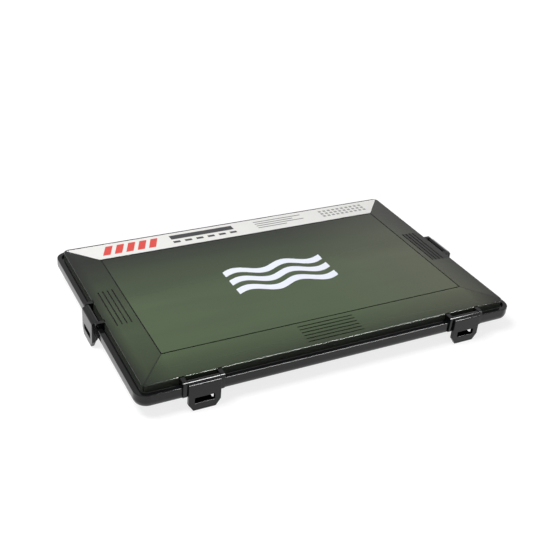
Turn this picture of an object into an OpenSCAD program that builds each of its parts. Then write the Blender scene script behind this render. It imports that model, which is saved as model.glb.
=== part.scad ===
// Shallow tackle storage box: a black tray with dividers, a smoked hinged lid with a
// label on its rear margin, and swinging clips that hold the box on the unit below.
// +X runs to the right, +Y to the back, +Z up. The origin is the centre of the plan,
// on the surface that the clip tips and the rear hooks stand on.

/* [Base tray] */
// Length of the tray's outer rim, left to right
base_l = 400; // [370:1:420]
// Width of the tray's outer rim, front to back
base_w = 257; // [240:1:280]
// Height from the tray's lower edge to the shelf round the lid
base_h = 11.5; // [10.5:0.5:13]
// Corner radius of the outer rim
base_corner_r = 12.5; // [10:0.5:16]
// Radius that rolls the outer wall under
bottom_edge_r = 8; // [6:0.5:9]
// Thickness of the wall that the lid closes round
wall_t = 2.2; // [1.8:0.1:2.4]
// Thickness of the tray floor
floor_t = 2; // [1.6:0.1:2.4]
// Distance from the outer wall's face in to the lid's skirt
shelf_inset = 7; // [6.5:0.25:8]
// Depth of the channel that the lid's skirt drops into
channel_d = 2.5; // [2:0.25:3]

/* [Lid] */
// Height of the lid's rim above the shelf
lid_rise = 6.3; // [6:0.1:7]
// Height of the flat panel above the lid's rim
crown_h = 1.8; // [1:0.1:3]
// Length of the flat panel
panel_l = 326; // [300:1:330]
// Width of the flat panel
panel_w = 172.5; // [160:0.5:176]
// Thickness of the lid's top and skirt
lid_t = 2; // [1.8:0.1:2.2]
// Corner radius of the lid
lid_corner_r = 5.5; // [5:0.25:8]
// Radius along the lid's upper edge
lid_edge_r = 1; // [0.6:0.1:1.6]
// Width of the line that frames the flat panel
groove_w = 1.2; // [0.8:0.1:1.6]
// Depth of the line that frames the flat panel
groove_d = 0.7; // [0.4:0.1:1]
// Length of the grip grooves
grip_l = 60; // [40:1:70]
// Distance between grip grooves
grip_pitch = 4.6; // [4:0.1:5]

/* [Clips] */
// Width of a clip
clip_w = 30.4; // [26:0.2:34]
// Distance of the front clips from the middle of the box
clip_x = 140; // [120:1:150]
// How far the clip tips reach below the tray
clip_drop = 13.2; // [12.5:0.1:15]
// Thickness of a clip's plate
plate_t = 3.6; // [3:0.1:3.8]
// Distance from the lid's skirt out to a clip's outer face
clip_out = 11.2; // [11:0.1:12]
// Width of the window through a clip
window_w = 19; // [14:0.5:20]
// Height of the window through a clip
window_h = 5.9; // [5.6:0.1:6.2]
// Thickness of the lugs that hold a clip's pin
lug_t = 4; // [3:0.25:5]

/* [Lid hinge] */
// Distance of the hinge stations from the middle of the box
hinge_x = 95; // [60:1:110]
// Length of the lid's knuckle
lid_knuckle_l = 14; // [10:0.5:18]
// Length of each tray knuckle
tray_knuckle_l = 8; // [6:0.5:10]
// Radius of the knuckles
knuckle_r = 2.4; // [2.2:0.1:2.4]

/* [Inside] */
// Distance of the fixed partition in front of the middle
partition_y = 39.5; // [30:0.5:50]
// Height of the partition and of the dividers above the floor
divider_h = 11.5; // [9:0.5:12]
// Thickness of a loose divider
divider_t = 1.6; // [1.2:0.1:1.8]
// Divider places across the front bay
front_places = 9; // [8:1:12]
// Divider places across the rear bay
rear_places = 5; // [4:1:8]

/* [Hidden] */

tray_black = "#1b1c1e";
smoke_green = "#4b5446";
label_white = "#e8e8e4";
seal_black = "#101010";
steel = "#b9bcc0";

$fn = 48;
eps = 0.05;
far = 60;
over = 1;

// Levels, measured from the tips of the clips
tray_z = clip_drop;
shelf_z = tray_z + base_h;
rim_z = shelf_z + lid_rise;
crown_z = rim_z + crown_h;
floor_z = tray_z + floor_t;
channel_z = shelf_z - channel_d;
channel_wall_t = 1.8;
wall_top_gap = 0.6;
hollow_top_z = channel_z - channel_wall_t;
wall_top_z = rim_z - lid_t - wall_top_gap;

// Plan sizes. Every "out" distance is measured outwards from the lid's skirt.
lid_l = base_l - 2 * shelf_inset;
lid_w = base_w - 2 * shelf_inset;
wall_out = -3.6;
wall_corner_r = 6;
channel_out = 2.6;
rim_t = 2.6;
roll_turn = 35;
hollow_out = shelf_inset - rim_t;
shelf_edge_r = 0.8;
root_out = hollow_out + 0.1;

// Lid
skirt_gap = 1;
skirt_z = channel_z + skirt_gap;
edge_turn = 70;
panel_corner_r = 0.6;
grip_w = 1.3;
grip_d = 0.7;
side_grips = 4;
front_grips = 6;
side_grip_in = 9;
front_grip_in = 6.4;
catch_l = 60;
wall_catch_r = 0.9;
wall_catch_z = shelf_z + 1.5;
lid_catch_r = 0.6;
lid_catch_z = shelf_z - 0.1;

// Label
label_t = 0.3;
label_gap = 0.9;
label_back = 3;

// Seal under the skirt
seal_t = 0.9;
seal_in = 2.4;
seal_out = 0.4;

// Clips
pin_r = 1.1;
press_gap = 0.01;
run_gap = 0.06;
clip_axis_out = 6;
clip_axis_z = rim_z - 3.4;
barrel_r = 2.6;
plate_top_z = rim_z - 2.8;
plate_in = clip_out - plate_t;
tip_chamfer = 0.8;
corner_cut_w = 4.8;
corner_cut_h = 7.2;
window_lap = 0.7;
window_corner_r = 0.8;
window_z = tray_z - window_h + window_lap;
nib_side_gap = 1;
nib_w = window_w - 2 * nib_side_gap;
nib_reach = 4.4;
nib_top_z = window_z - eps;
nib_lip = 0.6;
nib_face_h = 2.4;
nib_root = 0.5;
clip_edge_r = 0.7;
lug_gap = 0.3;
lug_r = 2.8;
lug_in = -0.4;
lug_notch_gap = 0.5;
lug_notch_d = 0.9;
lug_foot_z = tray_z + 1;
lug_foot_out = shelf_inset + 0.6;
lug_foot_rise = 2;
lug_sink = 1;
pin_end_gap = 0.2;
lug_mid = clip_w / 2 + lug_gap + lug_t / 2;
clip_pin_l = clip_w + 2 * (lug_gap + lug_t - pin_end_gap);

// Rear hooks, of the same outline as the clips
hook_w = clip_w;
hook_top_z = shelf_z - 1.6;
hook_slope = 2.4;
hook_top_w = 1;
hook_web_z = tray_z + 2;
hook_root_z = tray_z + 3.2;

// Hinge
hinge_out = 3.6;
hinge_z = shelf_z + 1.05;
hinge_pin_r = 1;
knuckle_gap = 0.4;
notch_gap = 0.35;
station_l = lid_knuckle_l + 2 * (knuckle_gap + tray_knuckle_l);
hinge_pin_l = station_l - 2 * pin_end_gap;
arm_ease = 0.1;
knuckle_foot = 1;

// Inside
bay_l = lid_l + 2 * (wall_out - wall_t);
bay_w = lid_w + 2 * (wall_out - wall_t);
partition_t = 1.8;
slot_rib_w = 1.2;
slot_rib_d = 1.6;
slot_gap = 0.15;
divider_gap = 0.3;
divider_foot = 0.1;
divider_top_z = floor_z + divider_h;
divider_corner = 1.5;
front_bay = [-bay_w / 2, -partition_y - partition_t / 2];
rear_bay = [-partition_y + partition_t / 2, bay_w / 2];
front_used = [2, 4, 6, 8];
rear_used = [2, 4];

// Ribs that stiffen the hollow rim from below
rim_rib_t = 1.6;
rim_rib_d = 3.7;
long_ribs = 8;
short_ribs = 5;

// Where a clip sits: a point on the lid's skirt, and the turn that faces it outwards
clip_seats = [
    [-clip_x, -lid_w / 2, 180],
    [clip_x, -lid_w / 2, 180],
    [-lid_l / 2, 0, 90],
    [lid_l / 2, 0, -90]
];
hook_seats = [
    [-clip_x, lid_w / 2, 0],
    [clip_x, lid_w / 2, 0]
];

function place_x(i, places) = -bay_l / 2 + i * bay_l / (places + 1);

// ---- shared shapes ----

// Rounded rectangle round the origin
module plan(l, w, r) {
    square([l - 2 * r, w], center = true);
    square([l, w - 2 * r], center = true);
    for (sx = [-1, 1], sy = [-1, 1])
        translate([sx * (l / 2 - r), sy * (w / 2 - r)])
            circle(r = r);
}

// Upright block with the outline of the lid's skirt moved out by out
module skirt_block(out, r, z0, z1) {
    translate([0, 0, z0])
        linear_extrude(height = z1 - z0)
            plan(lid_l + 2 * out, lid_w + 2 * out, r);
}

// Outline in the out and up directions, drawn along an edge of the box
module along_edge(length) {
    rotate([90, 0, 90])
        linear_extrude(height = length, center = true)
            children();
}

// Block from z0 to z1 whose sides have the outline in children(): it runs along the four
// edges and turns round the four corners, and is drawn outwards from the corner centres
module outlined_block(l, w, r, z0, z1) {
    core = [l - 2 * r, w - 2 * r];
    translate([-core[0] / 2, -core[1] / 2, z0])
        cube([core[0], core[1], z1 - z0]);
    for (i = [0 : 3])
        rotate([0, 0, 90 * i]) {
            along = core[i % 2] / 2;
            out = core[(i + 1) % 2] / 2;
            translate([0, out, 0])
                along_edge(2 * along)
                    children();
            translate([along, out, 0])
                rotate_extrude(angle = 90)
                    children();
        }
}

// Rod along an edge of the box
module edge_rod(r, length, out, z) {
    translate([0, out, z])
        rotate([0, 90, 0])
            cylinder(h = length, r = r, center = true);
}

// Moves a piece drawn at the middle of an edge to its seat
module seated(seat) {
    translate([seat[0], seat[1], 0])
        rotate([0, 0, seat[2]])
            children();
}

// ---- base tray ----

// Outline of the rim: it curves under to an open lip, and is eased at the shelf
module rim_outline() {
    roll_z = tray_z + bottom_edge_r * sin(roll_turn);
    polygon([
        [0, tray_z],
        [base_corner_r - bottom_edge_r * (1 - cos(roll_turn)), tray_z],
        [base_corner_r, roll_z],
        [base_corner_r, shelf_z - shelf_edge_r],
        [base_corner_r - shelf_edge_r, shelf_z],
        [0, shelf_z]
    ]);
    intersection() {
        translate([base_corner_r - bottom_edge_r, roll_z])
            circle(r = bottom_edge_r);
        translate([0, tray_z])
            square([base_corner_r, base_h - shelf_edge_r]);
    }
    translate([base_corner_r - shelf_edge_r, shelf_z - shelf_edge_r])
        circle(r = shelf_edge_r);
}

// Hollow in the rim, open from below, with its cross ribs
module rim_hollow() {
    difference() {
        skirt_block(hollow_out, base_corner_r - rim_t, tray_z - over, hollow_top_z);
        skirt_block(wall_out, wall_corner_r, tray_z - 2 * over, hollow_top_z + over);
        for (i = [1 : long_ribs])
            translate([-lid_l / 2 + i * lid_l / (long_ribs + 1), 0, hollow_top_z])
                cube([rim_rib_t, base_w, 2 * rim_rib_d], center = true);
        for (i = [1 : short_ribs])
            translate([0, -lid_w / 2 + i * lid_w / (short_ribs + 1), hollow_top_z])
                cube([base_l, rim_rib_t, 2 * rim_rib_d], center = true);
    }
}

// Lug that carries one end of a clip's pin
module pin_lug() {
    along_edge(lug_t) {
        translate([clip_axis_out, clip_axis_z])
            circle(r = lug_r);
        translate([lug_in, channel_z - lug_sink])
            square([clip_axis_out - lug_in, clip_axis_z + lug_r - channel_z + lug_sink]);
        polygon([
            [root_out, lug_foot_z],
            [lug_foot_out, lug_foot_z],
            [clip_axis_out + lug_r, lug_foot_z + lug_foot_rise],
            [clip_axis_out + lug_r, clip_axis_z],
            [root_out, clip_axis_z]
        ]);
    }
}

// Fixed hook at the back, with the window that its nib is moulded through
module rear_hook() {
    difference() {
        intersection() {
            along_edge(hook_w)
                polygon([
                    [root_out, hook_top_z],
                    [shelf_inset + hook_top_w, hook_top_z],
                    [clip_out, hook_top_z - hook_slope],
                    [clip_out, tip_chamfer],
                    [clip_out - tip_chamfer, 0],
                    [plate_in + tip_chamfer, 0],
                    [plate_in, tip_chamfer],
                    [plate_in, hook_web_z],
                    [root_out, hook_root_z]
                ]);
            plate_outline();
        }
        window();
    }
    hook_nib();
}

// Knuckles of the tray at one hinge station
module tray_knuckles(x) {
    for (s = [-1, 1])
        translate([x + s * (lid_knuckle_l + tray_knuckle_l + 2 * knuckle_gap) / 2, lid_w / 2, 0]) {
            edge_rod(knuckle_r, tray_knuckle_l, hinge_out, hinge_z);
            translate([-tray_knuckle_l / 2, hinge_out - knuckle_r, channel_z - knuckle_foot])
                cube([tray_knuckle_l, 2 * knuckle_r, hinge_z - channel_z + knuckle_foot]);
        }
}

// Room in the shelf for the lid's knuckle and its arm
module knuckle_notch(x) {
    notch_l = lid_knuckle_l + 2 * knuckle_gap;
    translate([x, lid_w / 2, 0]) {
        edge_rod(knuckle_r + notch_gap, notch_l, hinge_out, hinge_z);
        translate([-notch_l / 2, 0, hinge_z - knuckle_r - notch_gap])
            cube([notch_l, hinge_out, far]);
        translate([-notch_l / 2, hinge_out, hinge_z])
            cube([notch_l, knuckle_r + notch_gap, far]);
    }
}

// Pairs of ribs that hold the ends of a loose divider
module divider_slots(bay, places) {
    for (i = [1 : places], s = [-1, 1], y = bay)
        translate([
            place_x(i, places) + s * (divider_t / 2 + slot_gap + slot_rib_w / 2),
            y,
            floor_z + divider_h / 2 - eps
        ])
            cube([slot_rib_w, 2 * slot_rib_d, divider_h], center = true);
}

module base_tray() {
    color(tray_black)
    difference() {
        union() {
            difference() {
                union() {
                    outlined_block(base_l, base_w, base_corner_r, tray_z, shelf_z)
                        rim_outline();
                    skirt_block(wall_out, wall_corner_r, tray_z, wall_top_z);
                }
                difference() {
                    skirt_block(channel_out, lid_corner_r + channel_out, channel_z, far);
                    skirt_block(wall_out, wall_corner_r, 0, far);
                }
                skirt_block(wall_out - wall_t, wall_corner_r - wall_t, floor_z, far);
                rim_hollow();
            }
            for (seat = clip_seats, s = [-1, 1])
                seated(seat)
                    translate([s * lug_mid, 0, 0])
                        pin_lug();
            for (seat = hook_seats)
                seated(seat)
                    rear_hook();
            for (s = [-1, 1])
                tray_knuckles(s * hinge_x);
            translate([0, -partition_y, (floor_z + divider_top_z) / 2 - eps])
                cube([bay_l + 2 * eps, partition_t, divider_h], center = true);
            divider_slots(front_bay, front_places);
            divider_slots(rear_bay, rear_places);
            translate([0, -lid_w / 2, 0])
                edge_rod(wall_catch_r, catch_l, -wall_out, wall_catch_z);
        }
        for (s = [-1, 1]) {
            knuckle_notch(s * hinge_x);
            translate([s * hinge_x, lid_w / 2, 0])
                edge_rod(hinge_pin_r + press_gap, station_l + 2 * eps, hinge_out, hinge_z);
        }
        for (seat = clip_seats)
            seated(seat)
                edge_rod(pin_r + press_gap, clip_pin_l + 2 * over, clip_axis_out, clip_axis_z);
    }
}

// ---- lid ----

// Outline of the skirt with its eased upper edge, open to the roof above
module skirt_outline() {
    round_z = rim_z - lid_edge_r * sin(edge_turn);
    polygon([
        [0, skirt_z],
        [lid_corner_r, skirt_z],
        [lid_corner_r, round_z],
        [lid_corner_r - lid_edge_r, round_z + lid_edge_r],
        [0, crown_z + over]
    ]);
    translate([lid_corner_r - lid_edge_r, round_z])
        circle(r = lid_edge_r);
}

// Two margins rising from the rim to the flat panel, over one direction of the lid
module margin_prism(span, flat, length) {
    drop = over * 2 * crown_h / (span - flat);
    rotate([90, 0, 0])
        linear_extrude(height = length + 2 * over, center = true)
            polygon([
                [-span / 2 - over, 0],
                [span / 2 + over, 0],
                [span / 2 + over, rim_z - drop],
                [flat / 2, crown_z],
                [-flat / 2, crown_z],
                [-span / 2 - over, rim_z - drop]
            ]);
}

module lid_roof() {
    intersection() {
        margin_prism(lid_l, panel_l, lid_w);
        rotate([0, 0, 90])
            margin_prism(lid_w, panel_w, lid_l);
    }
}

module lid_block() {
    intersection() {
        outlined_block(lid_l, lid_w, lid_corner_r, skirt_z, crown_z + over)
            skirt_outline();
        lid_roof();
    }
}

module lid_hollow() {
    intersection() {
        skirt_block(-lid_t, lid_corner_r - lid_t, skirt_z - over, crown_z);
        translate([0, 0, -lid_t])
            lid_roof();
    }
}

// Room in the lid's edge for the lugs beside a clip
module lug_notches(seat) {
    seated(seat)
        for (s = [-1, 1])
            translate([s * lug_mid, 0, far / 2])
                cube([lug_t + 2 * lug_notch_gap, 2 * lug_notch_d, far], center = true);
}

// Thin line that frames the flat panel
module panel_groove() {
    translate([0, 0, crown_z - groove_d])
        linear_extrude(height = far)
            difference() {
                plan(panel_l + groove_w, panel_w + groove_w, panel_corner_r + groove_w / 2);
                plan(panel_l - groove_w, panel_w - groove_w, panel_corner_r);
            }
}

// One grip groove with round ends, along Y
module grip_groove() {
    linear_extrude(height = far) {
        square([grip_w, grip_l - grip_w], center = true);
        for (s = [-1, 1])
            translate([0, s * (grip_l - grip_w) / 2])
                circle(d = grip_w);
    }
}

// Height of the side or front margin at a distance in from the skirt
function margin_z(from_skirt, margin) = rim_z + crown_h * from_skirt / margin;

module grip_grooves() {
    side_margin = (lid_l - panel_l) / 2;
    front_margin = (lid_w - panel_w) / 2;
    for (s = [-1, 1], i = [0 : side_grips - 1]) {
        in = side_grip_in + i * grip_pitch;
        translate([s * (lid_l / 2 - in), 0, margin_z(in, side_margin) - grip_d])
            grip_groove();
    }
    for (i = [0 : front_grips - 1]) {
        in = front_grip_in + i * grip_pitch;
        translate([0, in - lid_w / 2, margin_z(in, front_margin) - grip_d])
            rotate([0, 0, 90])
                grip_groove();
    }
}

// Knuckle of the lid with the arm that joins it to the skirt
module lid_knuckle(x) {
    translate([x, lid_w / 2, 0]) {
        edge_rod(knuckle_r, lid_knuckle_l, hinge_out, hinge_z);
        translate([-lid_knuckle_l / 2, -lid_t / 2, hinge_z - knuckle_r + arm_ease])
            cube([lid_knuckle_l, hinge_out + lid_t / 2, 2 * (knuckle_r - arm_ease)]);
    }
}

module lid() {
    color(smoke_green, 0.8)
    difference() {
        union() {
            difference() {
                lid_block();
                lid_hollow();
            }
            for (s = [-1, 1])
                lid_knuckle(s * hinge_x);
            translate([0, -lid_w / 2, 0])
                edge_rod(lid_catch_r, catch_l, lid_t, lid_catch_z);
        }
        panel_groove();
        grip_grooves();
        for (seat = clip_seats)
            lug_notches(seat);
        for (s = [-1, 1])
            translate([s * hinge_x, lid_w / 2, 0])
                edge_rod(hinge_pin_r + run_gap, hinge_pin_l, hinge_out, hinge_z);
    }
}

// Label on the rear margin, cut along the two hip lines
module lid_label() {
    margin = (lid_w - panel_w) / 2;
    hip = (lid_l - panel_l) / 2 / margin;
    tilt = atan(crown_h / margin);
    reach = margin - label_back;
    color(label_white)
    translate([0, panel_w / 2, crown_z])
        rotate([-tilt, 0, 0])
            linear_extrude(height = label_t)
                polygon([
                    [-panel_l / 2 - hip * label_gap, label_gap],
                    [panel_l / 2 + hip * label_gap, label_gap],
                    [panel_l / 2 + hip * reach, reach],
                    [-panel_l / 2 - hip * reach, reach]
                ]);
}

// Rubber frame in the channel, under the lid's skirt
module lid_seal() {
    color(seal_black)
    difference() {
        skirt_block(seal_out, lid_corner_r + seal_out, channel_z, channel_z + seal_t);
        skirt_block(-seal_in, lid_corner_r - seal_in, channel_z - over, channel_z + 2 * seal_t);
        for (seat = clip_seats)
            lug_notches(seat);
        for (s = [-1, 1])
            knuckle_notch(s * hinge_x);
    }
}

// ---- clips ----

// Front outline of a clip or hook, with its cut lower corners
module plate_outline() {
    translate([0, 2 * clip_out, 0])
        rotate([90, 0, 0])
            linear_extrude(height = 3 * clip_out)
                polygon([
                    [-clip_w / 2, rim_z],
                    [-clip_w / 2, corner_cut_h],
                    [-clip_w / 2 + corner_cut_w, 0],
                    [clip_w / 2 - corner_cut_w, 0],
                    [clip_w / 2, corner_cut_h],
                    [clip_w / 2, rim_z]
                ]);
}

module window() {
    translate([0, shelf_inset + clip_out, window_z + window_h / 2])
        rotate([90, 0, 0])
            linear_extrude(height = clip_out)
                plan(window_w, window_h, window_corner_r);
}

// Nib that catches under the ledge of the unit below
module hook_nib() {
    along_edge(nib_w)
        polygon([
            [plate_in + nib_root, nib_top_z],
            [plate_in - nib_reach + nib_lip, nib_top_z],
            [plate_in - nib_reach, nib_top_z - nib_lip],
            [plate_in - nib_reach, nib_top_z - nib_face_h],
            [plate_in, tip_chamfer],
            [plate_in + nib_root, tip_chamfer]
        ]);
}

module clip(seat) {
    color(tray_black)
    seated(seat)
    difference() {
        union() {
            intersection() {
                along_edge(clip_w) {
                    translate([clip_axis_out, clip_axis_z])
                        circle(r = barrel_r);
                    translate([clip_out - clip_edge_r, plate_top_z - clip_edge_r])
                        circle(r = clip_edge_r);
                    polygon([
                        [clip_axis_out, clip_axis_z + barrel_r],
                        [clip_out - clip_edge_r, plate_top_z],
                        [clip_out, plate_top_z - clip_edge_r],
                        [clip_out, tip_chamfer],
                        [clip_out - tip_chamfer, 0],
                        [plate_in + tip_chamfer, 0],
                        [plate_in, tip_chamfer],
                        [plate_in, clip_axis_z - barrel_r],
                        [clip_axis_out, clip_axis_z - barrel_r]
                    ]);
                }
                plate_outline();
            }
            hook_nib();
        }
        window();
        edge_rod(pin_r + run_gap, clip_w + 2 * over, clip_axis_out, clip_axis_z);
    }
}

module clip_pin(seat) {
    color(steel)
    seated(seat)
        edge_rod(pin_r, clip_pin_l, clip_axis_out, clip_axis_z);
}

module hinge_pin(s) {
    color(steel)
    translate([s * hinge_x, lid_w / 2, 0])
        edge_rod(hinge_pin_r, hinge_pin_l, hinge_out, hinge_z);
}

// ---- loose dividers ----

// Divider across a bay, standing in place i of its slots
module divider(bay, places, i) {
    y0 = bay[0] + divider_gap;
    y1 = bay[1] - divider_gap;
    z0 = floor_z + divider_foot;
    color(tray_black)
    translate([place_x(i, places), 0, 0])
        along_edge(divider_t)
            polygon([
                [y0, z0],
                [y1, z0],
                [y1, divider_top_z - divider_corner],
                [y1 - divider_corner, divider_top_z],
                [y0 + divider_corner, divider_top_z],
                [y0, divider_top_z - divider_corner]
            ]);
}

base_tray();
lid();
lid_label();
lid_seal();
hinge_pin(-1);  // hinge_pin_left
hinge_pin(1);  // hinge_pin_right
clip(clip_seats[0]);  // clip_front_left
clip(clip_seats[1]);  // clip_front_right
clip(clip_seats[2]);  // clip_left
clip(clip_seats[3]);  // clip_right
clip_pin(clip_seats[0]);  // clip_pin_front_left
clip_pin(clip_seats[1]);  // clip_pin_front_right
clip_pin(clip_seats[2]);  // clip_pin_left
clip_pin(clip_seats[3]);  // clip_pin_right
divider(front_bay, front_places, front_used[0]);  // front_divider_1
divider(front_bay, front_places, front_used[1]);  // front_divider_2
divider(front_bay, front_places, front_used[2]);  // front_divider_3
divider(front_bay, front_places, front_used[3]);  // front_divider_4
divider(rear_bay, rear_places, rear_used[0]);  // rear_divider_1
divider(rear_bay, rear_places, rear_used[1]);  // rear_divider_2
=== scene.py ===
import math
import bpy
from mathutils import Matrix, Vector


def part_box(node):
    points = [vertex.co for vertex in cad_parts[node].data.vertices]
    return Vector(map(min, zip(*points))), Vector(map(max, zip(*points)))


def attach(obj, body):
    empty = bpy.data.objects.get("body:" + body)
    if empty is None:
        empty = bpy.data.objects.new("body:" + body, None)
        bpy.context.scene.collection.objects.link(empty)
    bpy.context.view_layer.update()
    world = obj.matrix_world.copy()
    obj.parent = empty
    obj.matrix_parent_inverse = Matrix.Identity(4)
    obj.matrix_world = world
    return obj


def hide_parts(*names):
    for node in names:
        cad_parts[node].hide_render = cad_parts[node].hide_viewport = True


# Shallow tackle storage box: black tray, smoked lid, label and swinging clips.
# All lengths are metres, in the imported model's own frame.

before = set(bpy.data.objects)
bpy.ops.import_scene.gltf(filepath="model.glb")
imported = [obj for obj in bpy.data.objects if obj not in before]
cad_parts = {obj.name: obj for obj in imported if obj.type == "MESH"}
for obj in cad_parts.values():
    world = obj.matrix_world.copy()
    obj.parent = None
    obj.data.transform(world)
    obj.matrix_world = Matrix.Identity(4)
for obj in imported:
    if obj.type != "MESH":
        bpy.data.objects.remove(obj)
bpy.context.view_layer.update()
mm = 0.001
micron = 0.000001
cutTolerance = 1e-7
print("stage: frame loaded,", len(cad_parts), "nodes")


# Selecting and editing

def clearSelection():
    if bpy.context.object and bpy.context.object.mode != "OBJECT":
        bpy.ops.object.mode_set(mode="OBJECT")
    bpy.ops.object.select_all(action="DESELECT")


def makeActive(piece):
    clearSelection()
    piece.select_set(True)
    bpy.context.view_layer.objects.active = piece


def enterEdit(piece):
    # edit mode, with the whole mesh selected
    makeActive(piece)
    bpy.ops.object.mode_set(mode="EDIT")
    bpy.ops.mesh.select_all(action="SELECT")


def leaveEdit():
    bpy.ops.object.mode_set(mode="OBJECT")


def bakePlace(piece):
    # the place goes into the mesh, the object stays at the origin
    makeActive(piece)
    bpy.ops.object.transform_apply(location=True, rotation=True, scale=True)
    return piece


def addBlock(name, low, high):
    low, high = Vector(low), Vector(high)
    clearSelection()
    bpy.ops.mesh.primitive_cube_add(size=1, location=(low + high) / 2)
    block = bpy.context.object
    block.name = block.data.name = name
    block.scale = high - low
    return bakePlace(block)


def addRod(name, radius, length, centre, sides=48):
    # a rod along X
    clearSelection()
    bpy.ops.mesh.primitive_cylinder_add(
        vertices=sides, radius=radius, depth=length, location=centre, rotation=(0, math.pi / 2, 0))
    rod = bpy.context.object
    rod.name = rod.data.name = name
    return bakePlace(rod)


def startPick(piece, kind):
    makeActive(piece)
    bpy.context.tool_settings.mesh_select_mode = (kind == "VERT", kind == "EDGE", kind == "FACE")
    mesh = piece.data
    for group in (mesh.vertices, mesh.edges, mesh.polygons):
        group.foreach_set("select", [False] * len(group))
    return mesh


def pickFaces(piece, test):
    mesh = startPick(piece, "FACE")
    for face in mesh.polygons:
        face.select = bool(test(face.center, face.normal))
    bpy.ops.object.mode_set(mode="EDIT")


def pickEdges(piece, test):
    mesh = startPick(piece, "EDGE")
    for edge in mesh.edges:
        edge.select = bool(test(*(mesh.vertices[i].co for i in edge.vertices)))
    bpy.ops.object.mode_set(mode="EDIT")


def pickPoints(piece, test):
    mesh = startPick(piece, "VERT")
    for point in mesh.vertices:
        point.select = bool(test(point.co))
    bpy.ops.object.mode_set(mode="EDIT")


def near(a, b, reach=0.02 * mm):
    return abs(a - b) < reach


def upright(a, b):
    return near(a.x, b.x) and near(a.y, b.y) and not near(a.z, b.z)


# Cutting, joining and finishing

def bevelPicked(width, steps):
    bpy.ops.mesh.bevel(offset=width, segments=steps, affect="EDGES")
    leaveEdit()


def slicePiece(piece, point, normal, clear=True):
    # cuts along a plane; clear takes away what lies on the normal's side and closes the cut
    enterEdit(piece)
    bpy.ops.mesh.bisect(plane_co=point, plane_no=Vector(normal).normalized(), use_fill=clear,
                        clear_outer=clear, threshold=cutTolerance)
    leaveEdit()


def applyModifier(piece, kind, **settings):
    makeActive(piece)
    modifier = piece.modifiers.new(kind.lower(), kind)
    for key, value in settings.items():
        setattr(modifier, key, value)
    bpy.ops.object.modifier_apply(modifier=modifier.name)


def combine(piece, operation, tool):
    applyModifier(piece, "BOOLEAN", operation=operation, object=tool, solver="EXACT")
    bpy.data.objects.remove(tool)


def joinInto(first, *others):
    makeActive(first)
    for other in others:
        other.select_set(True)
    bpy.ops.object.join()
    return first


def mergeCuts(piece, reach=0.01 * mm, flatAngle=0.5):
    # joins doubled points and the flat faces that the cuts split
    enterEdit(piece)
    bpy.ops.mesh.remove_doubles(threshold=reach)
    bpy.ops.mesh.dissolve_limited(angle_limit=math.radians(flatAngle))
    leaveEdit()


def easeEdges(piece, width, steps=3, angle=38):
    applyModifier(piece, "BEVEL", width=width, segments=steps, limit_method="ANGLE",
                  angle_limit=math.radians(angle), use_clamp_overlap=True)


def finishShape(piece, sharpAngle=32):
    # smooth shading on the rounds, flat shading on the flats
    makeActive(piece)
    bpy.ops.object.shade_smooth_by_angle(angle=math.radians(sharpAngle))
    applyModifier(piece, "WEIGHTED_NORMAL", keep_sharp=True, weight=100)


def dress(piece, material):
    piece.data.materials.clear()
    piece.data.materials.append(material)


def standFor(piece, node, body, material):
    dress(piece, material)
    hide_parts(node)
    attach(piece, body)


# Building node materials

class Wire:
    # one socket; arithmetic on it adds Math nodes
    def __init__(self, board, socket):
        self.board, self.socket = board, socket

    def math(self, operation, *others):
        values = dict(enumerate((self,) + others))
        return self.board.add("ShaderNodeMath", {"operation": operation}, values)

    def __add__(self, other):
        return self.math("ADD", other)

    def __radd__(self, other):
        return self.math("ADD", other)

    def __sub__(self, other):
        return self.math("SUBTRACT", other)

    def __rsub__(self, other):
        return self.board.add("ShaderNodeMath", {"operation": "SUBTRACT"}, {0: other, 1: self})

    def __mul__(self, other):
        return self.math("MULTIPLY", other)

    def __rmul__(self, other):
        return self.math("MULTIPLY", other)

    def __truediv__(self, other):
        return self.math("DIVIDE", other)

    def __lt__(self, other):
        return self.math("LESS_THAN", other)

    def __gt__(self, other):
        return self.math("GREATER_THAN", other)

    def __abs__(self):
        return self.math("ABSOLUTE")


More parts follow.
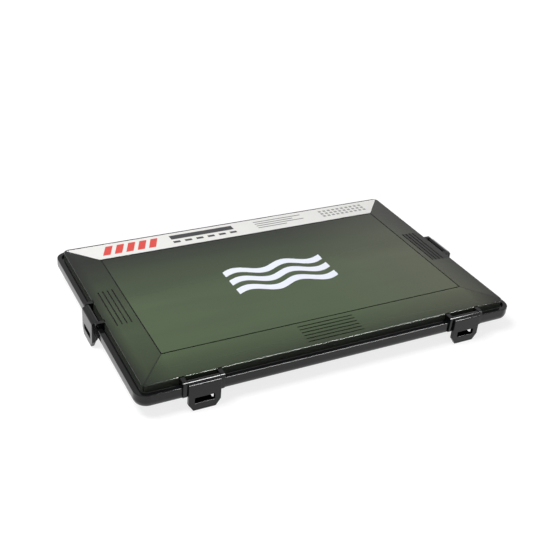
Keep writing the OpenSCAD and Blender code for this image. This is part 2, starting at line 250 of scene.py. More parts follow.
class Board:
    # the nodes of one material, or of the world
    inputNames = {
        "colour": "Base Color", "roughness": "Roughness", "metallic": "Metallic", "ior": "IOR",
        "alpha": "Alpha", "normal": "Normal", "mirroring": "Specular IOR Level",
        "glowColour": "Emission Color", "glow": "Emission Strength"}

    def __init__(self, owner):
        owner.use_nodes = True
        self.owner, self.tree = owner, owner.node_tree
        self.shader = self.tree.nodes.get("Principled BSDF")

    def add(self, kind, settings=None, sockets=None, out=0):
        node = self.tree.nodes.new(kind)
        for key, value in (settings or {}).items():
            setattr(node, key, value)
        for key, value in (sockets or {}).items():
            self.plug(node.inputs[key], value)
        return Wire(self, node.outputs[out])

    def plug(self, socket, value):
        if isinstance(value, Wire):
            self.tree.links.new(value.socket, socket)
        else:
            socket.default_value = value

    def feed(self, **values):
        for name, value in values.items():
            self.plug(self.shader.inputs[self.inputNames[name]], value)
        return self.owner

    def place(self):
        return self.add("ShaderNodeTexCoord", out="Object")

    def axes(self, place=None):
        split = self.add("ShaderNodeSeparateXYZ", None, {0: place or self.place()}).socket.node
        return [Wire(self, output) for output in split.outputs]

    def stretched(self, scale):
        return self.add("ShaderNodeMapping", None, {"Vector": self.place(), "Scale": scale})

    def noise(self, scale, detail=3, place=None):
        return self.add("ShaderNodeTexNoise", None, {
            "Vector": place or self.place(), "Scale": scale, "Detail": detail})

    def spread(self, value, low, high, toLow, toHigh):
        return self.add("ShaderNodeMapRange", {"clamp": True}, {
            "Value": value, "From Min": low, "From Max": high, "To Min": toLow, "To Max": toHigh})

    def mottle(self, noise, low, high, darkest=0.3, lightest=0.7):
        # spreads a noise, which rarely leaves these two values, from low to high
        return self.spread(noise, darkest, lightest, low, high)

    def blendColour(self, mask, colourA, colourB):
        return self.add("ShaderNodeMix", {"data_type": "RGBA"}, {0: mask, 6: colourA, 7: colourB},
                        out=2)

    def bump(self, height, distance, below=None):
        sockets = {"Height": height, "Distance": distance}
        if below:
            sockets["Normal"] = below
        return self.add("ShaderNodeBump", None, sockets)


def newBoard(name):
    return Board(bpy.data.materials.new(name))


def grey(level):
    return (level, level, level, 1)


# Black plastic of the tray, the clips and the dividers

blackLook = {
    "colour": (0.0040, 0.0042, 0.0045),
    "worn": (0.010, 0.010, 0.0105, 1),
    "wornShare": 0.35,
    "smooth": 0.08,
    "rough": 0.12,
    "scratchRough": 0.03,
    "ior": 1.40,
    "cloudScale": 22,
    "peelScale": 420,
    "peelDepth": 8 * micron,
    "grainScale": 2600,
    "grainDepth": 2 * micron,
    "scratchStretch": (90, 2400, 900),
}


def makeBlackPlastic(name, lift=1.0):
    board, look = newBoard(name), blackLook
    clouds = board.noise(look["cloudScale"], 4)
    scratches = board.noise(1.0, 2, board.stretched(look["scratchStretch"]))
    lifted = tuple(part * lift for part in look["colour"]) + (1,)
    scuffed = board.mottle(clouds, 0.0, look["wornShare"], 0.55, 0.75)
    roughness = board.mottle(clouds, look["smooth"], look["rough"], 0.35)
    roughness = roughness + board.mottle(scratches, 0.0, look["scratchRough"], 0.62)
    peel = board.bump(board.noise(look["peelScale"], 2), look["peelDepth"])
    grain = board.bump(board.noise(look["grainScale"], 2), look["grainDepth"], peel)
    return board.feed(colour=board.blendColour(scuffed, lifted, look["worn"]), roughness=roughness,
                      ior=look["ior"], normal=grain)


blackTray = makeBlackPlastic("trayPlastic")
blackClip = makeBlackPlastic("clipPlastic", 1.15)
blackDivider = makeBlackPlastic("dividerPlastic", 1.05)
print("stage: black plastic")


# Tray

trayWeld = 0.002 * mm


def dressTray():
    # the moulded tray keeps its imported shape; a merged copy carries smooth rolled edges
    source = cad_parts["base_tray"]
    tray = source.copy()
    tray.data = source.data.copy()
    tray.name = tray.data.name = "trayShell"
    bpy.context.scene.collection.objects.link(tray)
    tray.parent = None
    for key in list(tray.keys()):
        del tray[key]
    enterEdit(tray)
    bpy.ops.mesh.remove_doubles(threshold=trayWeld)
    leaveEdit()
    bpy.ops.mesh.customdata_custom_splitnormals_clear()
    finishShape(tray)
    standFor(tray, "base_tray", "tray", blackTray)


dressTray()
print("stage: tray")


# Lid

clipAlong = 140 * mm  # from the middle of the front to a front clip
lidShape = {
    "length": 386 * mm,
    "width": 243 * mm,
    "cornerRadius": 5.5 * mm,
    "cornerSteps": 8,
    "skirtBottom": 23.2 * mm,
    "rim": 31 * mm,
    "crown": 32.8 * mm,
    "panelLength": 326 * mm,
    "panelWidth": 172.5 * mm,
    "panelCorner": 0.6 * mm,
    "wall": 2 * mm,
    "edgeRadius": 1.0 * mm,
    "edgeSteps": 6,
    "frameLine": 1.2 * mm,
    "frameDepth": 0.7 * mm,
    "gripLength": 60 * mm,
    "gripWidth": 1.3 * mm,
    "gripDepth": 0.7 * mm,
    "gripPitch": 4.6 * mm,
    "gripSteps": 6,
    "sideGrips": 4,
    "sideGripIn": 9 * mm,
    "frontGrips": 6,
    "frontGripIn": 6.4 * mm,
    "hingeAt": 95 * mm,
    "hingeOut": 3.6 * mm,
    "hingeHeight": 25.75 * mm,
    "knuckleRadius": 2.4 * mm,
    "knuckleLength": 14 * mm,
    "armInset": 0.1 * mm,
    "boreRadius": 1.06 * mm,
    "beadRadius": 0.6 * mm,
    "beadHeight": 24.6 * mm,
    "notchWidth": 5 * mm,
    "notchDepth": 0.9 * mm,
    "notchAside": 17.5 * mm,
    "cutReach": 20 * mm,
}
halfL, halfW = lidShape["length"] / 2, lidShape["width"] / 2
panelX, panelY = lidShape["panelLength"] / 2, lidShape["panelWidth"] / 2

smokeLook = {
    "tint": (0.064, 0.095, 0.045, 1),
    # painted light: a lighter, greyer tone towards the right stands in for reflection there
    "paintedLightRight": (0.090, 0.099, 0.064, 1),  # towards the right
    "paintedLightRightSpan": (20 * mm, 180 * mm),
    # painted shade: the skirt is given a darker tone than the top
    "skirt": (0.055, 0.064, 0.050, 1),
    "skirtSpan": (29.0 * mm, 30.6 * mm),
    "creaseShadeColour": (0.002, 0.003, 0.002, 1),
    # painted shade: the colour that the tint fades to by place
    "black": (0.0, 0.0, 0.0, 1),
    # painted shade: shares of the tint that are left, by place on the lid; the rest is painted black.
    # These levels stand in for light, shade and reflection on the lid
    "backLevel": 0.16,
    "backSpan": (-10 * mm, 85 * mm),
    "backRightGain": 0.35,
    "backRightSpan": (40 * mm, 170 * mm),
    "frontRimLevel": 0.45,
    "frontLeftLevel": 0.30,
    "frontRightLevel": 0.05,
    "leftLevel": 0.65,
    "leftFrontLevel": 0.45,
    "leftFrontSpan": (-20 * mm, 25 * mm),  # from the panel's front edge
    "leftRimLevel": 0.30,
    "leftRimFade": 10 * mm,
    "rightLevel": 0.70,
    "rightRimLevel": 0.20,
    "rightFrontFade": 22 * mm,
    "rightGripShade": 0.80,
    "streakLevels": (0.90, 1.08),
    "streakStretch": (5, 34, 34),
    # painted shade: dark lines along the hips and in the grooves
    "hipSpan": (0.012, 0.035),
    "hipShade": 0.8,
    "grooveSpan": (0.08 * mm, 0.25 * mm),
    "frontGripShade": 0.5,
    # waves printed in the middle
    "ink": (0.76, 0.79, 0.87, 1),
    "inkReach": 56 * mm,
    "inkWidth": 9.6 * mm,
    "inkSoftEdge": 0.2 * mm,
    "inkRough": 0.25,
    "waveLength": 56 * mm,
    "waveHeight": 4.5 * mm,
    "waveGap": 17 * mm,
    "smooth": 0.09,
    "rough": 0.15,
    "smearScale": 9,
    "peelScale": 120,
    "peelDepth": 10 * micron,
    "dustScale": 3000,
    "dustDepth": 0.4 * micron,
    "alpha": 0.93,
    "ior": 1.45,
}


def paintedShadeLevel(board, x, y, onSide):
    # painted shade: the tint is strongest in the middle and fades to black towards the back, the rim
    # and the sides; this stands in for light, shade and reflection, not the lid's own colour
    look, shape = smokeLook, lidShape
    back = board.spread(y, *look["backSpan"], 1.0, look["backLevel"])
    back = back + (1 - back) * board.spread(x, *look["backRightSpan"], 0.0, look["backRightGain"])

    front = board.spread(y, -halfW, -panelY, look["frontRimLevel"], 1.0)
    front = front * board.spread(x, -halfL, -panelX, look["frontLeftLevel"], 1.0)
    front = front * board.spread(x, panelX, halfL, 1.0, look["frontRightLevel"])

    low, high = look["leftFrontSpan"]
    left = board.spread(y, low - panelY, high - panelY, look["leftFrontLevel"], look["leftLevel"])
    left = left * board.spread(x, -halfL, look["leftRimFade"] - halfL, look["leftRimLevel"], 1.0)

    right = board.spread(x, panelX, halfL, look["rightLevel"], look["rightRimLevel"])
    right = right * board.spread(y, -halfW, look["rightFrontFade"] - halfW, 0.0, 1.0)
    # painted shade: a darker patch round the right grips
    gripEnd = shape["gripLength"] / 2
    gripsFrom = halfL - shape["sideGripIn"] - (shape["sideGrips"] - 0.8) * shape["gripPitch"]
    atGrips = board.spread(abs(y), gripEnd - mm, gripEnd + mm, 1.0, 0.0)
    atGrips = atGrips * board.spread(x, gripsFrom, gripsFrom + 2 * mm, 0.0, 1.0)
    right = right * (1 - atGrips * look["rightGripShade"])

    # each margin's share counts on its own side of the hips
    front = 1 - (1 - onSide) * (1 - front)
    left = 1 - onSide * (x < 0) * (1 - left)
    right = 1 - onSide * (x > 0) * (1 - right)
    streaks = board.noise(1.0, 5, board.stretched(look["streakStretch"]))
    return back * front * left * right * board.mottle(streaks, *look["streakLevels"])


def paintedCreaseShade(board, y, z, upSide, upFront):
    # painted shade along the hips and inside the grooves, lighter at the front grips
    look, shape = smokeLook, lidShape
    up = upSide.math("MINIMUM", upFront).math("MINIMUM", 1.0)
    hip = board.spread(abs(upSide - upFront), *look["hipSpan"], look["hipShade"], 0.0) * (up < 0.97)
    below = up * (shape["crown"] - shape["rim"]) + shape["rim"] - z
    groove = board.spread(below, *look["grooveSpan"], 0.0, 1.0)
    groove = groove * (below < 1.2 * mm) * (up > 0.06)
    gripEdge = -panelY - 2 * mm
    groove = groove * board.spread(y, gripEdge - mm, gripEdge, look["frontGripShade"], 1.0)
    return hip.math("MAXIMUM", groove)


def printedWaves(board, x, y, z):
    look = smokeLook
    wave = (x * (2 * math.pi / look["waveLength"])).math("SINE") * look["waveHeight"]
    edge = look["inkWidth"] / 2
    ink = 0
    for row in (-1, 0, 1):
        away = abs(y - row * look["waveGap"] - wave)
        ink = board.spread(away, edge - look["inkSoftEdge"], edge, 1.0, 0.0) + ink
    onTop = z > lidShape["crown"] - 0.2 * mm
    return ink * (abs(x) < look["inkReach"]) * onTop


def makeSmokedLid():
    board, look = newBoard("smokedLid"), smokeLook
    x, y, z = board.axes()
    # how far a point lies up the side and the front margin, 0 at the rim and 1 at the panel
    upSide = (halfL - abs(x)) / (halfL - panelX)
    upFront = (halfW - abs(y)) / (halfW - panelY)
    onSide = (upSide < upFront) * (upSide < 1)
    # painted light: the tint turns lighter and greyer towards the right
    tint = board.blendColour(board.spread(x, *look["paintedLightRightSpan"], 0.0, 1.0), look["tint"],
                             look["paintedLightRight"])
    # painted shade and light: the tint fades to black by place
    tint = board.blendColour(paintedShadeLevel(board, x, y, onSide), look["black"], tint)
    # painted shade on the skirt
    tint = board.blendColour(board.spread(z, *look["skirtSpan"], 0.0, 1.0), look["skirt"], tint)
    # painted shade along the hips and in the grooves
    tint = board.blendColour(paintedCreaseShade(board, y, z, upSide, upFront), tint, look["creaseShadeColour"])
    ink = printedWaves(board, x, y, z)
    smears = board.noise(look["smearScale"], 4)
    roughness = board.mottle(smears, look["smooth"], look["rough"], 0.35) + ink * look["inkRough"]
    peel = board.bump(board.noise(look["peelScale"], 2), look["peelDepth"])
    dust = board.bump(board.noise(look["dustScale"], 1), look["dustDepth"], peel)
    return board.feed(colour=board.blendColour(ink, tint, look["ink"]), roughness=roughness,
                      normal=dust, ior=look["ior"], alpha=look["alpha"] + ink * (1 - look["alpha"]))


def outlineLid():
    # skirt, sloping margins and flat panel as one shell
    s = lidShape
    lid = addBlock("lidShell", (-halfL, -halfW, s["skirtBottom"]), (halfL, halfW, s["rim"]))
    pickEdges(lid, upright)
    bevelPicked(s["cornerRadius"], s["cornerSteps"])
    pickFaces(lid, lambda centre, normal: abs(normal.z) > 0.9)
    bpy.ops.mesh.delete(type="ONLY_FACE")
    leaveEdit()

    # the panel's outline has as many points as the rim
    clearSelection()
    bpy.ops.mesh.primitive_plane_add(size=1, location=(0, 0, s["crown"]))
    panel = bpy.context.object
    panel.scale = (s["panelLength"], s["panelWidth"], 1)
    enterEdit(bakePlace(panel))
    bpy.ops.mesh.bevel(offset=s["panelCorner"], segments=s["cornerSteps"], affect="VERTICES")
    bpy.ops.mesh.delete(type="ONLY_FACE")
    leaveEdit()
    joinInto(lid, panel)

    pickEdges(lid, lambda a, b: min(a.z, b.z) > s["rim"] - 0.1 * mm)
    bpy.ops.mesh.bridge_edge_loops()
    leaveEdit()
    pickEdges(lid, lambda a, b: min(a.z, b.z) > s["crown"] - 0.1 * mm)
    bpy.ops.mesh.edge_face_add()
    bpy.ops.mesh.select_all(action="SELECT")
    bpy.ops.mesh.normals_make_consistent(inside=False)
    leaveEdit()
    applyModifier(lid, "SOLIDIFY", thickness=s["wall"], offset=-1, use_even_offset=True)

    def onRim(point):
        outerX, outerY = halfL - s["cornerRadius"] - 0.1 * mm, halfW - s["cornerRadius"] - 0.1 * mm
        return near(point.z, s["rim"]) and (abs(point.x) > outerX or abs(point.y) > outerY)

    pickEdges(lid, lambda a, b: onRim(a) and onRim(b))
    bevelPicked(s["edgeRadius"], s["edgeSteps"])
    return lid


def addHingeAndBead(lid):
    # two hinge knuckles with their arms, and the catch bead inside the front skirt
    s = lidShape
    half, armHalf = s["knuckleLength"] / 2, s["knuckleRadius"] - s["armInset"]
    for side in (-1, 1):
        centre = Vector((side * s["hingeAt"], halfW + s["hingeOut"], s["hingeHeight"]))
        arm = addBlock("arm", (centre.x - half, halfW - s["wall"] / 2, centre.z - armHalf),
                       (centre.x + half, centre.y, centre.z + armHalf))
        combine(arm, "UNION", addRod("knuckle", s["knuckleRadius"], 2 * half, centre))
        combine(lid, "UNION", arm)
        combine(lid, "DIFFERENCE", addRod("bore", s["boreRadius"], 2 * half + 4 * mm, centre))
    bead = addRod("bead", s["beadRadius"], s["gripLength"], (0, -halfW + s["wall"], s["beadHeight"]))
    combine(lid, "UNION", bead)


def cutPanelLine(lid):
    # the line that frames the panel
    s = lidShape
    line, floor, top = s["frameLine"] / 2, s["crown"] - s["frameDepth"], s["crown"] + 5 * mm
    outer = Vector((panelX + line, panelY + line, 0))
    inner = Vector((panelX - line, panelY - line, 0))
    up = Vector((0, 0, 1))
    ring = addBlock("frameLine", up * floor - outer, up * top + outer)
    core = addBlock("frameCore", up * (floor - mm) - inner, up * (top + mm) + inner)
    combine(ring, "DIFFERENCE", core)
    combine(lid, "DIFFERENCE", ring)


def gripCutter(centreX, centreY, surface, lengthwise):
    s = lidShape
    half = Vector((s["gripWidth"], s["gripLength"], 0)) / 2
    if lengthwise:
        half = half.yxz
    low = Vector((centreX, centreY, surface - s["gripDepth"])) - half
    high = Vector((centreX, centreY, s["crown"] + 5 * mm)) + half
    cutter = addBlock("groove", low, high)
    pickEdges(cutter, upright)
    bevelPicked(s["gripWidth"] / 2.05, s["gripSteps"])
    return cutter


def cutGrips(lid):
    # four grooves in each side margin, six in the front one; each follows the slope
    s = lidShape
    rise = s["crown"] - s["rim"]
    cutters = []
    for i in range(s["sideGrips"]):
        inward = s["sideGripIn"] + i * s["gripPitch"]
        surface = s["rim"] + rise * inward / (halfL - panelX)
        for side in (-1, 1):
            cutters.append(gripCutter(side * (halfL - inward), 0, surface, False))
    for i in range(s["frontGrips"]):
        inward = s["frontGripIn"] + i * s["gripPitch"]
        surface = s["rim"] + rise * inward / (halfW - panelY)
        cutters.append(gripCutter(0, inward - halfW, surface, True))
    combine(lid, "DIFFERENCE", joinInto(*cutters))


def cutNotches(lid):
    # notches in the edge, behind the lugs of the clips
    s = lidShape
    room = Vector((s["notchWidth"] / 2, s["notchDepth"], s["cutReach"]))
    steps = (-s["notchAside"], s["notchAside"])
    places = [(side * clipAlong + step, -halfW, room) for side in (-1, 1) for step in steps]
    places += [(side * halfL, step, room.yxz) for side in (-1, 1) for step in steps]
    for x, y, reach in places:
        centre = Vector((x, y, s["rim"]))
        combine(lid, "DIFFERENCE", addBlock("notch", centre - reach, centre + reach))


def modelLid():
    lid = outlineLid()
    addHingeAndBead(lid)
    cutPanelLine(lid)
    cutGrips(lid)
    cutNotches(lid)
    finishShape(lid)
    standFor(lid, "lid", "lid_assembly", makeSmokedLid())


modelLid()
print("stage: lid")


# Label

labelShape = {
    "gap": 0.9 * mm,  # from the panel to the label's front edge, down the slope
    "reach": 32.25 * mm,  # from the panel to its back edge
    "thickness": 0.25 * mm,
    "sunk": 0.03 * mm,
    "cornerRadius": 1.6 * mm,
    "cornerSteps": 6,
    "easedEdge": 0.08 * mm,
}
labelLook = {
    "film": (0.73, 0.725, 0.705, 1),
    "spots": (0.62, 0.62, 0.62, 1),
    "spotShare": 0.12,
    "dark": (0.055, 0.055, 0.058, 1),
    "red": (0.62, 0.075, 0.065, 1),
    "rule": (0.15, 0.15, 0.15, 1),
    "dotShade": 0.8,
    "mirroring": 0.12,
    "smooth": 0.52,
    "rough": 0.62,
    "smearScale": 30,
    "paperScale": 900,
    "paperDepth": 4 * micron,
    "softEdge": 0.12 * mm,
    # rows of marks: count, first centre, step, place up the margin, size, slant
    "redBars": (5, -150 * mm, 12.5 * mm, 103.5 * mm, (8 * mm, 19 * mm), 0.45),
    "darkBar": (1, -42 * mm, 0, 108.5 * mm, (74 * mm, 9 * mm), 0),
    "squares": (6, -75.2 * mm, 13.3 * mm, 97.5 * mm, (8 * mm, 4.2 * mm), 0),
    # rules: centre, length and place; all are as thick
    "rules": ((52 * mm, 60 * mm, 111.5 * mm), (46 * mm, 48 * mm, 106.7 * mm),
              (52 * mm, 60 * mm, 101.9 * mm), (40 * mm, 36 * mm, 97.1 * mm)),
    "ruleThick": 1.6 * mm,
    "dotRows": (110.5 * mm, 104.5 * mm, 98.5 * mm),
    "dotCount": 10,
    "dotStart": 108 * mm,
    "dotStep": 6 * mm,
    "dotSize": (3.6 * mm, 3.6 * mm),
}


def makeLabelFilm():
    board, look = newBoard("labelFilm"), labelLook
    x, y, z = board.axes()

    def inMark(distance, size):
        edge, soft = size / 2, look["softEdge"]
        return board.spread(distance, edge - soft, edge + soft, 1.0, 0.0)

    def rowOfMarks(count, start, step, place, size, slant=0):
        marks = 0
        for i in range(count):
            across = abs(x - (start + i * step) - (y - place) * slant)
            marks = inMark(across, size[0]) * inMark(abs(y - place), size[1]) + marks
        return marks

    red = rowOfMarks(*look["redBars"])
    dark = rowOfMarks(*look["darkBar"]) + rowOfMarks(*look["squares"])
    thin = 0
    for centre, length, place in look["rules"]:
        thin = rowOfMarks(1, centre, 0, place, (length, look["ruleThick"])) + thin
    for place in look["dotRows"]:
        dots = rowOfMarks(look["dotCount"], look["dotStart"], look["dotStep"], place, look["dotSize"])
        thin = dots * look["dotShade"] + thin
    paper = board.noise(look["paperScale"], 3)
    colour = board.blendColour(board.mottle(paper, 0.0, look["spotShare"]), look["film"],
                               look["spots"])
    colour = board.blendColour(red, colour, look["red"])
    colour = board.blendColour(dark, colour, look["dark"])
    colour = board.blendColour(thin, colour, look["rule"])
    roughness = board.mottle(board.noise(look["smearScale"], 3), look["smooth"], look["rough"])
    return board.feed(colour=colour, roughness=roughness, mirroring=look["mirroring"],
                      normal=board.bump(paper, look["paperDepth"]))


def modelLabel():
    # drawn flat behind the panel's edge, then tilted on to the rear margin
    s, lid = labelShape, lidShape
    margin = halfW - panelY
    hip = (halfL - panelX) / margin
    tilt = math.atan((lid["crown"] - lid["rim"]) / margin)
    clearSelection()
    bpy.ops.mesh.primitive_plane_add(size=1)
    label = bpy.context.object
    label.name = label.data.name = "labelSheet"
    for point in label.data.vertices:
        y = s["reach"] if point.co.y > 0 else s["gap"]
        point.co = (math.copysign(panelX + hip * y, point.co.x), y, -s["sunk"])
    enterEdit(label)
    bpy.ops.mesh.bevel(offset=s["cornerRadius"], segments=s["cornerSteps"], affect="VERTICES")
    leaveEdit()
    applyModifier(label, "SOLIDIFY", thickness=s["thickness"], offset=1)
    easeEdges(label, s["easedEdge"], 2)
    label.rotation_euler = (-tilt, 0, 0)
    label.location = (0, panelY, lid["crown"])
    bakePlace(label)
    finishShape(label)
    standFor(label, "lid_label", "lid_assembly", makeLabelFilm())


modelLabel()
print("stage: label")


# Clips

clipShape = {
    "width": 30.4 * mm,
    "axisOut": 6 * mm,
    "axisHeight": 27.6 * mm,
    "barrelRadius": 2.6 * mm,
    "boreRadius": 1.16 * mm,
    "faceOut": 11.2 * mm,
    "plate": 3.6 * mm,
    "frontTop": 27.9 * mm,
    "headBottom": 25 * mm,
    "topRadius": 0.9 * mm,
    "tipRadius": 0.8 * mm,
    "cutWidth": 4.8 * mm,
    "cutHeight": 7.2 * mm,
    "windowWidth": 19 * mm,
    "windowBottom": 8 * mm,
    "windowTop": 13.9 * mm,
    "windowCorner": 0.7 * mm,
    "nibWidth": 17 * mm,
    "nibReach": 4.4 * mm,
    "nibTop": 7.95 * mm,
    "nibFace": 5.55 * mm,
    "nibLip": 0.6 * mm,
    "nibRoot": 0.5 * mm,
    "easedEdge": 0.32 * mm,
}
clipSeats = {  # place on the lid's edge, turn in degrees, body
    "clip_front_left": (-clipAlong, -halfW, 180, "front_left_clip"),
    "clip_front_right": (clipAlong, -halfW, 180, "front_right_clip"),
    "clip_left": (-halfL, 0, 90, "left_clip"),
    "clip_right": (halfL, 0, -90, "right_clip"),
}


def addClipPlate():
    # the head's slanted top, and the plate that hangs from its outer part
    s = clipShape
    half, inner = s["width"] / 2, s["faceOut"] - s["plate"]
    clip = addBlock("clip", (-half, s["axisOut"], s["headBottom"]), (half, s["faceOut"], s["frontTop"]))
    pickPoints(clip, lambda p: near(p.y, s["axisOut"]) and near(p.z, s["frontTop"]))
    barrelTop = s["axisHeight"] + s["barrelRadius"]
    bpy.ops.transform.translate(value=(0, 0, barrelTop - s["frontTop"]))
    leaveEdit()
    slicePiece(clip, (0, inner, 0), (0, 1, 0), clear=False)
    pickFaces(clip, lambda centre, normal: normal.z < -0.9 and centre.y > inner)
    bpy.ops.mesh.extrude_region_move(TRANSFORM_OT_translate={"value": (0, 0, -s["headBottom"])})
    leaveEdit()

    def level(a, b, height):
        return near(a.z, height) and near(b.z, height) and near(a.y, b.y)

    pickEdges(clip, lambda a, b: level(a, b, s["frontTop"]) and near(a.y, s["faceOut"]))
    bevelPicked(s["topRadius"], 5)
    pickEdges(clip, lambda a, b: level(a, b, 0))
    bevelPicked(s["tipRadius"], 4)
    for side in (-1, 1):
        slicePiece(clip, (side * half, 0, s["cutHeight"]), (side * s["cutHeight"], 0, -s["cutWidth"]))
    return clip


def addNib():
    # the nib holds the ledge of the unit below; its lower face slopes
    s = clipShape
    inner = s["faceOut"] - s["plate"]
    tip = inner - s["nibReach"]
    nib = addBlock("nib", (-s["nibWidth"] / 2, tip, s["tipRadius"]),
                   (s["nibWidth"] / 2, inner + s["nibRoot"], s["nibTop"]))
    slicePiece(nib, (0, tip, s["nibFace"]), (0, s["tipRadius"] - s["nibFace"], -s["nibReach"]))
    pickEdges(nib, lambda a, b: near(a.y, tip) and near(b.y, a.y)
              and near(a.z, s["nibTop"]) and near(b.z, a.z))
    bevelPicked(s["nibLip"], 3)
    return nib


def modelClip():
    # drawn at the middle of an edge: X along the edge, Y outwards
    s = clipShape
    clip = addClipPlate()
    nib = addNib()
    window = addBlock(
        "window", (-s["windowWidth"] / 2, s["faceOut"] - s["plate"] - 2 * mm, s["windowBottom"]),
        (s["windowWidth"] / 2, s["faceOut"] + 2 * mm, s["windowTop"]))
    pickEdges(window, lambda a, b: near(a.x, b.x) and near(a.z, b.z))
    bevelPicked(s["windowCorner"], 4)
    pivot = (0, s["axisOut"], s["axisHeight"])
    combine(clip, "UNION", addRod("barrel", s["barrelRadius"], s["width"], pivot))
    combine(clip, "DIFFERENCE", window)
    combine(clip, "UNION", nib)
    combine(clip, "DIFFERENCE", addRod("bore", s["boreRadius"], s["width"] + 2 * mm, pivot))
    mergeCuts(clip)
    easeEdges(clip, s["easedEdge"])
    return clip


def pieceName(node):
    # clip_front_left becomes clipFrontLeftPiece
    first, *rest = node.split("_")
    return first + "".join(word.capitalize() for word in rest) + "Piece"


def seatCopies(master, seats, material):
    for node, (x, y, turn, body) in seats.items():
        piece = master.copy()
        piece.data = master.data.copy()
        piece.name = piece.data.name = pieceName(node)
        bpy.context.scene.collection.objects.link(piece)
        piece.rotation_euler = (0, 0, math.radians(turn))
        piece.location = (x, y, 0)
        bakePlace(piece)
        finishShape(piece)
        standFor(piece, node, body, material)
    bpy.data.objects.remove(master)


seatCopies(modelClip(), clipSeats, blackClip)
print("stage: clips")


# Pins and seal

pinShape = {"radius": 1.1 * mm, "length": 38.6 * mm, "endBevel": 0.25 * mm, "sides": 32}
steelLook = {
    "dark": (0.05, 0.05, 0.05, 1),
    "light": (0.08, 0.08, 0.085, 1),
    "smooth": 0.24,
    "rough": 0.38,
    "drawnScale": 4000,
    "drawnDepth": 3 * micron,
}
rubberLook = {
    "dark": (0.010, 0.010, 0.010, 1),
    "light": (0.022, 0.022, 0.022, 1),
    "smooth": 0.6,
    "rough": 0.8,
    "bloomScale": 60,
    "grainScale": 1800,
    "grainDepth": 10 * micron,
}


def makeSteel():
    board, look = newBoard("pinSteel"), steelLook
    drawn = board.noise(look["drawnScale"], 3)
    return board.feed(colour=board.blendColour(drawn, look["dark"], look["light"]), metallic=1.0,
                      roughness=board.mottle(drawn, look["smooth"], look["rough"]),
                      normal=board.bump(drawn, look["drawnDepth"]))


def makeRubber():
    board, look = newBoard("sealRubber"), rubberLook
    bloom = board.noise(look["bloomScale"], 4)
    return board.feed(colour=board.blendColour(bloom, look["dark"], look["light"]),
                      roughness=board.mottle(bloom, look["smooth"], look["rough"]),
                      normal=board.bump(board.noise(look["grainScale"], 2), look["grainDepth"]))


def modelPin():
    s = pinShape
    pin = addRod("pin", s["radius"], s["length"], (0, clipShape["axisOut"], clipShape["axisHeight"]),
                 s["sides"])
    easeEdges(pin, s["endBevel"], 2, 60)
    return pin


pinSteel = makeSteel()
pinSeats = {node.replace("clip", "clip_pin"): seat[:3] + ("tray",) for node, seat in clipSeats.items()}
seatCopies(modelPin(), pinSeats, pinSteel)
for node in ("hinge_pin_left", "hinge_pin_right"):
    dress(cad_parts[node], pinSteel)
dress(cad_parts["lid_seal"], makeRubber())
print("stage: pins and seal")


# Dividers

dividerShape = {"corner": 1.5 * mm, "cornerSteps": 6, "easedEdge": 0.3 * mm}


def modelDivider(node):
    s = dividerShape
    low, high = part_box(node)
    divider = addBlock(node + "_plate", low, high)
    pickEdges(divider, lambda a, b: near(a.y, b.y) and near(a.z, b.z) and near(a.z, high.z))
    bevelPicked(s["corner"], s["cornerSteps"])
    easeEdges(divider, s["easedEdge"], 2)
    finishShape(divider)
    standFor(divider, node, "tray", blackDivider)


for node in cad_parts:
    if "divider" in node:
        modelDivider(node)
print("stage: dividers")


# Studio and camera

studio = {
    "floorSize": 12,
    "floorShade": 0.24,
    "floorRough": 0.9,
    "floorGlow": 0.80,  # leaves room for the shadow round the box
    "farGlow": 0.95,  # evens out the floor further off
    "glowRise": (0.26, 0.60),
    "skyLight": 0.28,
    "mirrorTop": 0.62,  # how bright the sky overhead is in a mirror
    "mirrorRise": (0.25, 0.40),
    "topPower": 31,
    "topSize": 0.7,
    "topPlace": (-0.75, 0.05, 1.6),
    "edgePower": 72,
    "edgeLength": 0.9,
    "edgeWidth": 0.45,
    "edgePlace": (0.82, -1.03, 1.46),
}
cameraView = {  # fitted to the rim's and the panel's corners in the photograph
    "place": (-0.3974, -0.6891, 0.5070),
    "right": (0.8921, -0.4462, 0.0720),
    "down": (-0.1719, -0.4822, -0.8590),
    "ahead": (0.4180, 0.7539, -0.5068),
    "sensor": 36,
    "lens": 59.08,
    "shift": (0.0124, -0.0149),
}


def turnFrom(right, up, back):
    return Matrix((right, up, back)).transposed().to_4x4()


def backgroundRays(board):
    # 1 for the rays that show the background, straight or in a mirror or glass
    path = board.tree.nodes.new("ShaderNodeLightPath")
    camera, glossy, through = (Wire(board, path.outputs[name]) for name in (
        "Is Camera Ray", "Is Glossy Ray", "Is Transmission Ray"))
    return (camera + glossy + through).math("MINIMUM", 1.0), glossy


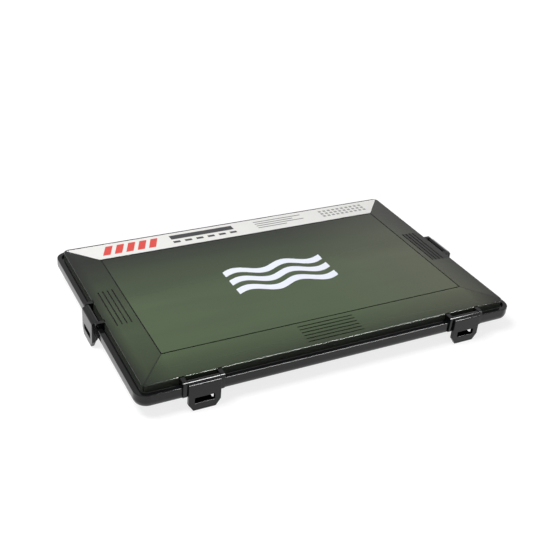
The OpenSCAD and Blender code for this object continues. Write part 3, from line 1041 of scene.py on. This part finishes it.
def buildFloor():
    clearSelection()
    bpy.ops.mesh.primitive_plane_add(size=studio["floorSize"])
    floor = bpy.context.object
    floor.name = "studioFloor"
    board = newBoard("studioFloor")
    seen, glossy = backgroundRays(board)
    away = board.add("ShaderNodeVectorMath", {"operation": "LENGTH"}, {0: board.place()}, out="Value")
    glow = board.spread(away, *studio["glowRise"], studio["floorGlow"], studio["farGlow"])
    dress(floor, board.feed(colour=grey(studio["floorShade"]), roughness=studio["floorRough"],
                            mirroring=0, glowColour=grey(1), glow=seen * glow))


def buildSky():
    # the sky is white where it is seen; mirrored, it dims overhead
    world = bpy.data.worlds.new("studioSky")
    bpy.context.scene.world = world
    board = Board(world)
    height = board.axes(board.add("ShaderNodeTexCoord"))[2]
    mirrored = board.spread(height, *studio["mirrorRise"], 1.0, studio["mirrorTop"])
    seen, glossy = backgroundRays(board)
    strength = (1 - seen) * studio["skyLight"] + (seen - glossy) + glossy * mirrored
    background = board.tree.nodes["Background"]
    board.plug(background.inputs["Strength"], strength)
    board.plug(background.inputs["Color"], grey(1))


def addSoftbox(name, place, length, width, power):
    light = bpy.data.lights.new(name, "AREA")
    light.shape, light.energy = "RECTANGLE", power
    light.size, light.size_y = length, width
    box = bpy.data.objects.new(name, light)
    bpy.context.scene.collection.objects.link(box)
    # it faces the origin, with its length parallel to the box
    back = Vector(place).normalized()
    lengthwise = Vector((1, 0, 0)).cross(back).cross(-back).normalized()
    box.matrix_world = Matrix.Translation(place) @ turnFrom(lengthwise, back.cross(lengthwise), back)
    return box


def addLights():
    # one lamp only lights, and the other only glints along eased edges
    s = studio
    top = addSoftbox("topSoftbox", s["topPlace"], s["topSize"], s["topSize"], s["topPower"])
    top.visible_glossy = False
    strip = addSoftbox("edgeStrip", s["edgePlace"], s["edgeLength"], s["edgeWidth"], s["edgePower"])
    strip.visible_diffuse = False


def placeCamera():
    view = cameraView
    data = bpy.data.cameras.new("photoCamera")
    data.sensor_width = view["sensor"]
    data.lens = view["lens"]
    data.shift_x, data.shift_y = view["shift"]
    data.dof.use_dof = False
    camera = bpy.data.objects.new("photoCamera", data)
    bpy.context.scene.collection.objects.link(camera)
    turn = turnFrom(Vector(view["right"]), -Vector(view["down"]), -Vector(view["ahead"]))
    camera.matrix_world = Matrix.Translation(view["place"]) @ turn
    bpy.context.scene.camera = camera


buildFloor()
buildSky()
addLights()
placeCamera()
bpy.context.scene.view_settings.view_transform = "Standard"
print("stage: studio and camera")
